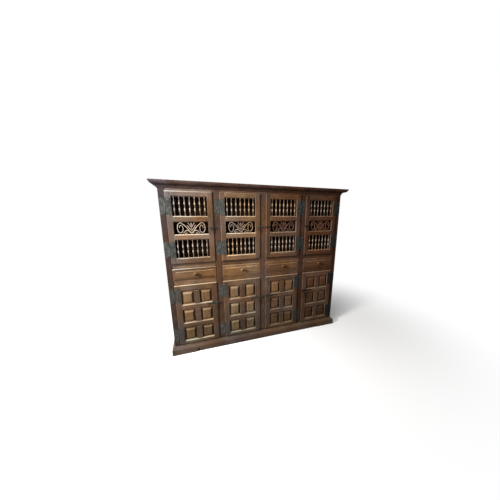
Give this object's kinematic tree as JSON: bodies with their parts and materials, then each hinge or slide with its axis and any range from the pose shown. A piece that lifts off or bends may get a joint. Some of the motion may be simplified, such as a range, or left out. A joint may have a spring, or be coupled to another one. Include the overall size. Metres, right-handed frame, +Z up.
{
  "type": "storage cupboard",
  "caption": "Wide wooden storage cupboard with spindle and carved doors above, drawers, and panelled doors below, with wrought-iron hinges and bolts.",
  "frame": {"origin": "centre of the footprint of the whole cupboard, on the floor", "axes": "+X to the right along the front, +Y from the front to the back, +Z up; the doors face -Y"},
  "size_m": [2.18, 0.492, 1.83],
  "materials": {
    "case_wood": "dark brown waxed solid wood, satin",
    "face_wood": "brown waxed solid wood with worn edges, satin",
    "panel_wood": "lighter brown waxed solid wood, satin",
    "turned_wood": "turned and waxed wood, satin",
    "crown_wood": "very dark brown waxed wood, satin",
    "inner_wood": "dull unpolished inner boards",
    "wrought_iron": "hand-forged iron with a dark waxed surface"
  },
  "bodies": {
    "case": {"base_plinth": "case_wood", "side_planks": "case_wood", "back_boards": "inner_wood", "decks": "inner_wood", "partitions": "inner_wood", "face_posts": "case_wood", "face_rails": "face_wood", "shelves": "inner_wood", "drawer_guides": "inner_wood", "top_boards": "crown_wood", "crown_moulding": "crown_wood", "case_ironwork": "wrought_iron"},
    "upper_door_1": {"upper_door_1_frame": "face_wood", "upper_door_1_spindles": "turned_wood", "upper_door_1_carved_panel": "turned_wood", "upper_door_1_ironwork": "wrought_iron"},
    "lower_door_1": {"lower_door_1_frame": "face_wood", "lower_door_1_panels": "panel_wood", "lower_door_1_ironwork": "wrought_iron"},
    "drawer_1": {"drawer_1_front": "panel_wood", "drawer_1_box": "inner_wood", "drawer_1_knob": "turned_wood"},
    "upper_bolt_1": {"upper_bolt_1": "wrought_iron"},
    "lower_bolt_1": {"lower_bolt_1": "wrought_iron"},
    "upper_door_2": {"upper_door_2_frame": "face_wood", "upper_door_2_spindles": "turned_wood", "upper_door_2_carved_panel": "turned_wood", "upper_door_2_ironwork": "wrought_iron"},
    "lower_door_2": {"lower_door_2_frame": "face_wood", "lower_door_2_panels": "panel_wood", "lower_door_2_ironwork": "wrought_iron"},
    "drawer_2": {"drawer_2_front": "panel_wood", "drawer_2_box": "inner_wood", "drawer_2_knob": "turned_wood"},
    "upper_bolt_2": {"upper_bolt_2": "wrought_iron"},
    "lower_bolt_2": {"lower_bolt_2": "wrought_iron"},
    "upper_door_3": {"upper_door_3_frame": "face_wood", "upper_door_3_spindles": "turned_wood", "upper_door_3_carved_panel": "turned_wood", "upper_door_3_ironwork": "wrought_iron"},
    "lower_door_3": {"lower_door_3_frame": "face_wood", "lower_door_3_panels": "panel_wood", "lower_door_3_ironwork": "wrought_iron"},
    "drawer_3": {"drawer_3_front": "panel_wood", "drawer_3_box": "inner_wood", "drawer_3_knob": "turned_wood"},
    "upper_bolt_3": {"upper_bolt_3": "wrought_iron"},
    "lower_bolt_3": {"lower_bolt_3": "wrought_iron"},
    "upper_door_4": {"upper_door_4_frame": "face_wood", "upper_door_4_spindles": "turned_wood", "upper_door_4_carved_panel": "turned_wood", "upper_door_4_ironwork": "wrought_iron"},
    "lower_door_4": {"lower_door_4_frame": "face_wood", "lower_door_4_panels": "panel_wood", "lower_door_4_ironwork": "wrought_iron"},
    "drawer_4": {"drawer_4_front": "panel_wood", "drawer_4_box": "inner_wood", "drawer_4_knob": "turned_wood"},
    "upper_bolt_4": {"upper_bolt_4": "wrought_iron"},
    "lower_bolt_4": {"lower_bolt_4": "wrought_iron"}
  },
  "joints": [
    {"name": "upper_door_1_swing", "type": "hinge", "parent": "case", "child": "upper_door_1", "pos_m": [-0.978, -0.19067, 1.39114], "axis": [0, 0, -1], "range_deg": [0, 110]},
    {"name": "lower_door_1_swing", "type": "hinge", "parent": "case", "child": "lower_door_1", "pos_m": [-0.978, -0.19067, 0.45814], "axis": [0, 0, -1], "range_deg": [0, 110]},
    {"name": "upper_bolt_1_slide", "type": "slide", "parent": "upper_door_1", "child": "upper_bolt_1", "axis": [1, 0, 0], "range_m": [0, 0.018]},
    {"name": "lower_bolt_1_slide", "type": "slide", "parent": "lower_door_1", "child": "lower_bolt_1", "axis": [1, 0, 0], "range_m": [0, 0.018]},
    {"name": "drawer_1_slide", "type": "slide", "parent": "case", "child": "drawer_1", "axis": [0, -1, 0], "range_m": [0, 0.3]},
    {"name": "upper_door_2_swing", "type": "hinge", "parent": "case", "child": "upper_door_2", "pos_m": [-0.474, -0.19067, 1.39114], "axis": [0, 0, -1], "range_deg": [0, 110]},
    {"name": "lower_door_2_swing", "type": "hinge", "parent": "case", "child": "lower_door_2", "pos_m": [-0.474, -0.19067, 0.45814], "axis": [0, 0, -1], "range_deg": [0, 110]},
    {"name": "upper_bolt_2_slide", "type": "slide", "parent": "upper_door_2", "child": "upper_bolt_2", "axis": [1, 0, 0], "range_m": [0, 0.018]},
    {"name": "lower_bolt_2_slide", "type": "slide", "parent": "lower_door_2", "child": "lower_bolt_2", "axis": [1, 0, 0], "range_m": [0, 0.018]},
    {"name": "drawer_2_slide", "type": "slide", "parent": "case", "child": "drawer_2", "axis": [0, -1, 0], "range_m": [0, 0.3]},
    {"name": "upper_door_3_swing", "type": "hinge", "parent": "case", "child": "upper_door_3", "pos_m": [0.474, -0.19067, 1.39114], "axis": [0, 0, 1], "range_deg": [0, 110]},
    {"name": "lower_door_3_swing", "type": "hinge", "parent": "case", "child": "lower_door_3", "pos_m": [0.474, -0.19067, 0.45814], "axis": [0, 0, 1], "range_deg": [0, 110]},
    {"name": "upper_bolt_3_slide", "type": "slide", "parent": "upper_door_3", "child": "upper_bolt_3", "axis": [-1, 0, 0], "range_m": [0, 0.018]},
    {"name": "lower_bolt_3_slide", "type": "slide", "parent": "lower_door_3", "child": "lower_bolt_3", "axis": [-1, 0, 0], "range_m": [0, 0.018]},
    {"name": "drawer_3_slide", "type": "slide", "parent": "case", "child": "drawer_3", "axis": [0, -1, 0], "range_m": [0, 0.3]},
    {"name": "upper_door_4_swing", "type": "hinge", "parent": "case", "child": "upper_door_4", "pos_m": [0.978, -0.19067, 1.39114], "axis": [0, 0, 1], "range_deg": [0, 110]},
    {"name": "lower_door_4_swing", "type": "hinge", "parent": "case", "child": "lower_door_4", "pos_m": [0.978, -0.19067, 0.45814], "axis": [0, 0, 1], "range_deg": [0, 110]},
    {"name": "upper_bolt_4_slide", "type": "slide", "parent": "upper_door_4", "child": "upper_bolt_4", "axis": [-1, 0, 0], "range_m": [0, 0.018]},
    {"name": "lower_bolt_4_slide", "type": "slide", "parent": "lower_door_4", "child": "lower_bolt_4", "axis": [-1, 0, 0], "range_m": [0, 0.018]},
    {"name": "drawer_4_slide", "type": "slide", "parent": "case", "child": "drawer_4", "axis": [0, -1, 0], "range_m": [0, 0.3]}
  ]
}
